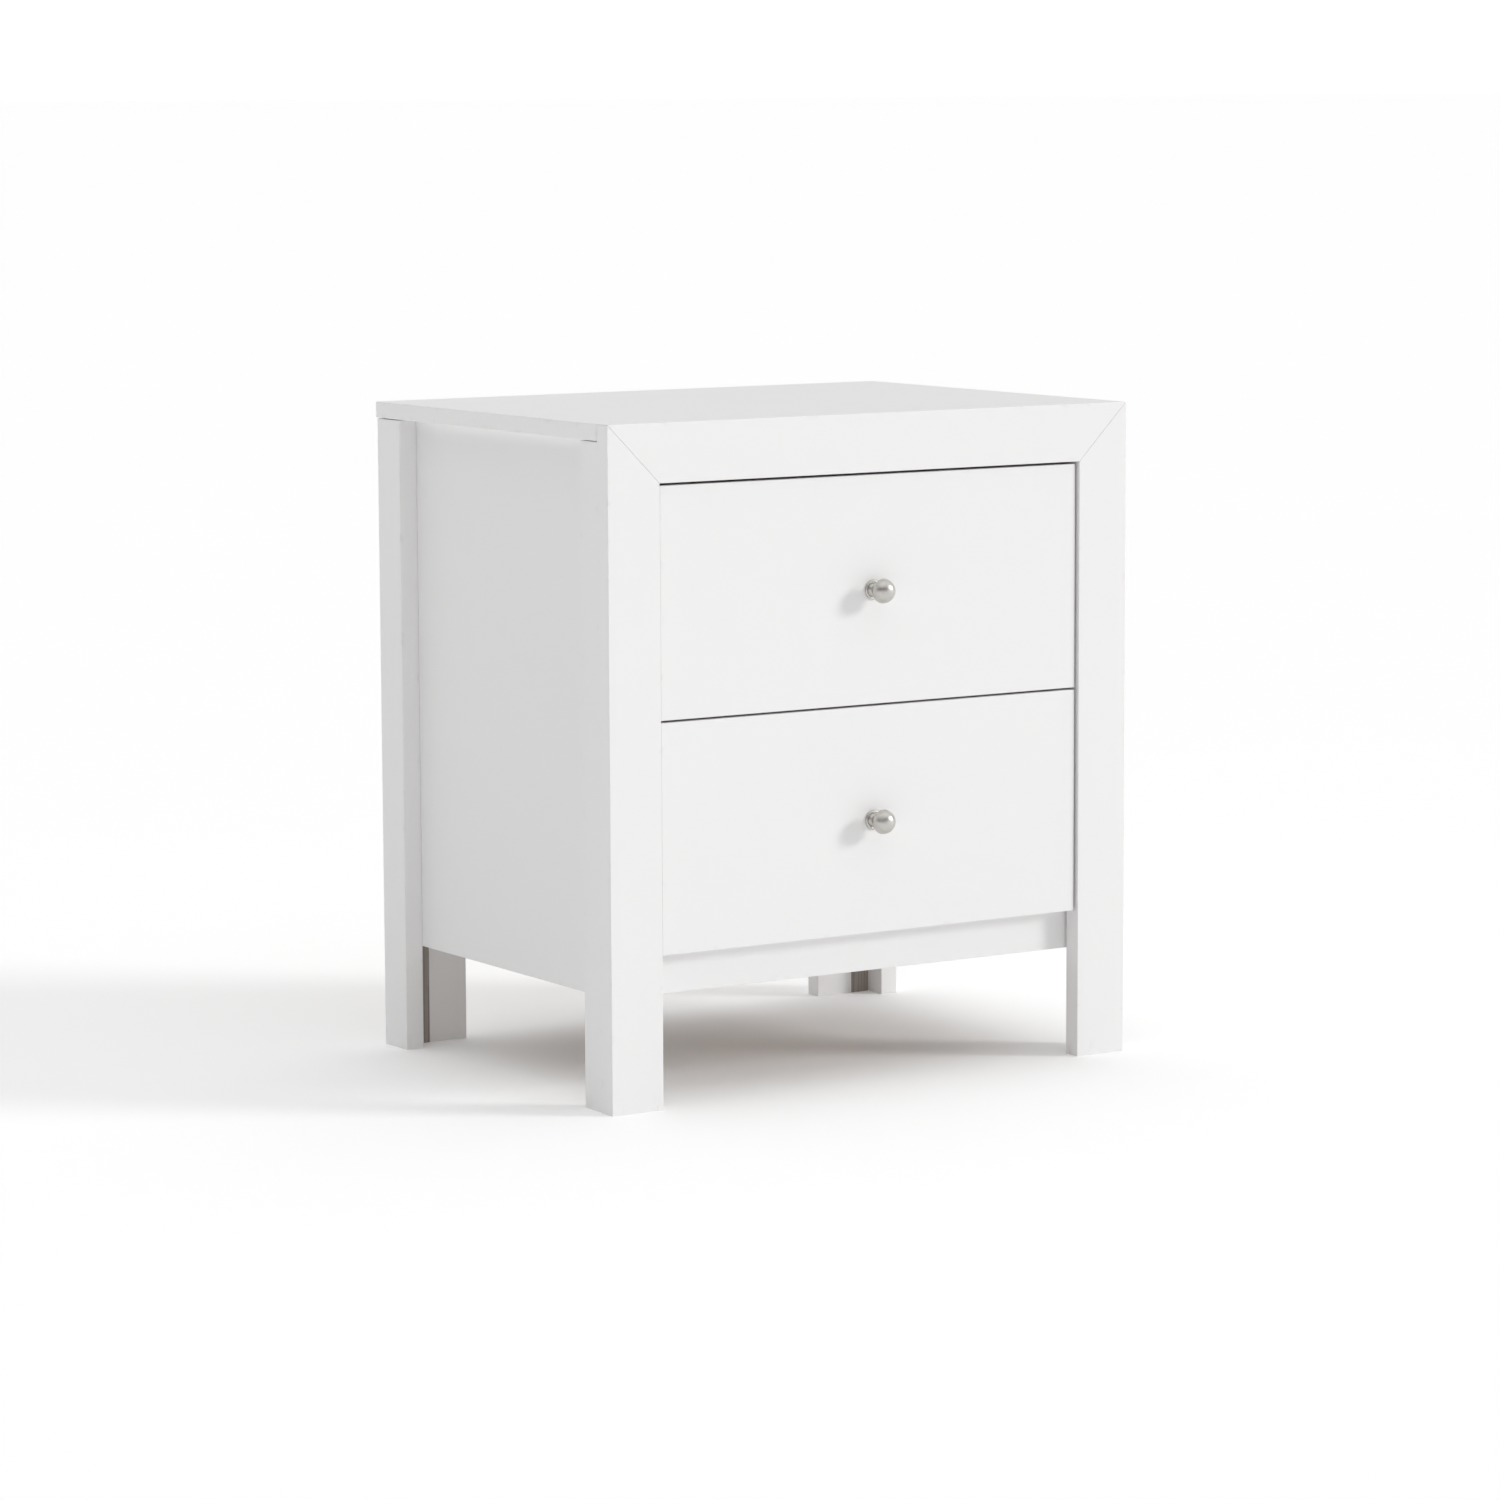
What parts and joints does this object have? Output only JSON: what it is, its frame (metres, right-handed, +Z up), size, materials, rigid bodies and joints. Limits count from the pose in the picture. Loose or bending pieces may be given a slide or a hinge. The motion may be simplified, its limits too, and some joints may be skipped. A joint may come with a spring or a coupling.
{
  "type": "nightstand",
  "caption": "Low bedside cabinet with a mitred front frame, inset drawers on roller runners, round knobs and L-shaped legs.",
  "frame": {"origin": "on the floor, at the middle of the outline in plan; the outline runs from the knobs' tips to the top's back edge", "axes": "+Z up, front with the drawers and knobs towards -Y, +X to the right of someone facing the front"},
  "size_m": [0.56, 0.443, 0.61],
  "materials": {
    "white_lacquer": "satin white lacquer on board",
    "white_foil": "matt white foil on board",
    "hardboard": "white-faced hardboard",
    "bare_wood": "bare pine and beech",
    "brushed_nickel": "satin nickel plate",
    "runner_enamel": "white baked enamel on steel",
    "zinc_plate": "bright zinc plate",
    "nylon": "natural white nylon"
  },
  "bodies": {
    "cabinet": {"top_panel": "white_lacquer", "front_top_rail": "white_lacquer", "front_stile_left": "white_lacquer", "front_stile_right": "white_lacquer", "front_leg_side_left": "white_lacquer", "front_leg_side_right": "white_lacquer", "rear_leg_side_left": "white_lacquer", "rear_leg_side_right": "white_lacquer", "rear_leg_back_left": "white_lacquer", "rear_leg_back_right": "white_lacquer", "rear_corner_post_left": "bare_wood", "rear_corner_post_right": "bare_wood", "side_panel_left": "white_lacquer", "side_panel_right": "white_lacquer", "apron": "white_lacquer", "rear_top_rail": "white_lacquer", "rear_bottom_rail": "white_lacquer", "back_panel": "hardboard", "upper_packer_left": "white_foil", "upper_packer_right": "white_foil", "lower_packer_left": "white_foil", "lower_packer_right": "white_foil", "upper_cabinet_runner_left": "runner_enamel", "upper_cabinet_runner_right": "runner_enamel", "lower_cabinet_runner_left": "runner_enamel", "lower_cabinet_runner_right": "runner_enamel", "frame_dowels": "bare_wood", "frame_cam_fittings": "zinc_plate", "cabinet_runner_screws": "zinc_plate", "back_panel_nails": "zinc_plate"},
    "upper_drawer": {"upper_drawer_front": "white_lacquer", "upper_drawer_side_left": "white_foil", "upper_drawer_side_right": "white_foil", "upper_drawer_back": "white_foil", "upper_drawer_bottom": "hardboard", "upper_knob": "brushed_nickel", "upper_knob_screw": "zinc_plate", "upper_drawer_runner_left": "runner_enamel", "upper_drawer_runner_right": "runner_enamel", "upper_drawer_runner_screws": "zinc_plate", "upper_drawer_cam_fittings": "zinc_plate"},
    "lower_drawer": {"lower_drawer_front": "white_lacquer", "lower_drawer_side_left": "white_foil", "lower_drawer_side_right": "white_foil", "lower_drawer_back": "white_foil", "lower_drawer_bottom": "hardboard", "lower_knob": "brushed_nickel", "lower_knob_screw": "zinc_plate", "lower_drawer_runner_left": "runner_enamel", "lower_drawer_runner_right": "runner_enamel", "lower_drawer_runner_screws": "zinc_plate", "lower_drawer_cam_fittings": "zinc_plate"},
    "upper_front_wheel_left": {"upper_front_roller_left": "nylon"},
    "upper_front_wheel_right": {"upper_front_roller_right": "nylon"},
    "upper_rear_wheel_left": {"upper_rear_roller_left": "nylon"},
    "upper_rear_wheel_right": {"upper_rear_roller_right": "nylon"},
    "lower_front_wheel_left": {"lower_front_roller_left": "nylon"},
    "lower_front_wheel_right": {"lower_front_roller_right": "nylon"},
    "lower_rear_wheel_left": {"lower_rear_roller_left": "nylon"},
    "lower_rear_wheel_right": {"lower_rear_roller_right": "nylon"}
  },
  "joints": [
    {"name": "upper_drawer_slide", "type": "slide", "parent": "cabinet", "child": "upper_drawer", "axis": [0, -1, 0], "range_m": [0, 0.26]},
    {"name": "lower_drawer_slide", "type": "slide", "parent": "cabinet", "child": "lower_drawer", "axis": [0, -1, 0], "range_m": [0, 0.26]},
    {"name": "upper_front_wheel_left_turn", "type": "hinge", "parent": "cabinet", "child": "upper_front_wheel_left", "pos_m": [-0.221, -0.1665, 0.37375], "axis": [1, 0, 0], "range_deg": [0, 1660]},
    {"name": "upper_front_wheel_right_turn", "type": "hinge", "parent": "cabinet", "child": "upper_front_wheel_right", "pos_m": [0.221, -0.1665, 0.37375], "axis": [1, 0, 0], "range_deg": [0, 1660]},
    {"name": "upper_rear_wheel_left_turn", "type": "hinge", "parent": "upper_drawer", "child": "upper_rear_wheel_left", "pos_m": [-0.2205, 0.156, 0.37375], "axis": [1, 0, 0], "range_deg": [0, 1660]},
    {"name": "upper_rear_wheel_right_turn", "type": "hinge", "parent": "upper_drawer", "child": "upper_rear_wheel_right", "pos_m": [0.2205, 0.156, 0.37375], "axis": [1, 0, 0], "range_deg": [0, 1660]},
    {"name": "lower_front_wheel_left_turn", "type": "hinge", "parent": "cabinet", "child": "lower_front_wheel_left", "pos_m": [-0.221, -0.1665, 0.1645], "axis": [1, 0, 0], "range_deg": [0, 1660]},
    {"name": "lower_front_wheel_right_turn", "type": "hinge", "parent": "cabinet", "child": "lower_front_wheel_right", "pos_m": [0.221, -0.1665, 0.1645], "axis": [1, 0, 0], "range_deg": [0, 1660]},
    {"name": "lower_rear_wheel_left_turn", "type": "hinge", "parent": "lower_drawer", "child": "lower_rear_wheel_left", "pos_m": [-0.2205, 0.156, 0.1645], "axis": [1, 0, 0], "range_deg": [0, 1660]},
    {"name": "lower_rear_wheel_right_turn", "type": "hinge", "parent": "lower_drawer", "child": "lower_rear_wheel_right", "pos_m": [0.2205, 0.156, 0.1645], "axis": [1, 0, 0], "range_deg": [0, 1660]}
  ],
  "couplings": [
    {"joint": "upper_front_wheel_left_turn", "follows": "upper_drawer_slide", "rad_per_m": 111.11},
    {"joint": "upper_front_wheel_right_turn", "follows": "upper_drawer_slide", "rad_per_m": 111.11},
    {"joint": "upper_rear_wheel_left_turn", "follows": "upper_drawer_slide", "rad_per_m": 111.11},
    {"joint": "upper_rear_wheel_right_turn", "follows": "upper_drawer_slide", "rad_per_m": 111.11},
    {"joint": "lower_front_wheel_left_turn", "follows": "lower_drawer_slide", "rad_per_m": 111.11},
    {"joint": "lower_front_wheel_right_turn", "follows": "lower_drawer_slide", "rad_per_m": 111.11},
    {"joint": "lower_rear_wheel_left_turn", "follows": "lower_drawer_slide", "rad_per_m": 111.11},
    {"joint": "lower_rear_wheel_right_turn", "follows": "lower_drawer_slide", "rad_per_m": 111.11}
  ]
}
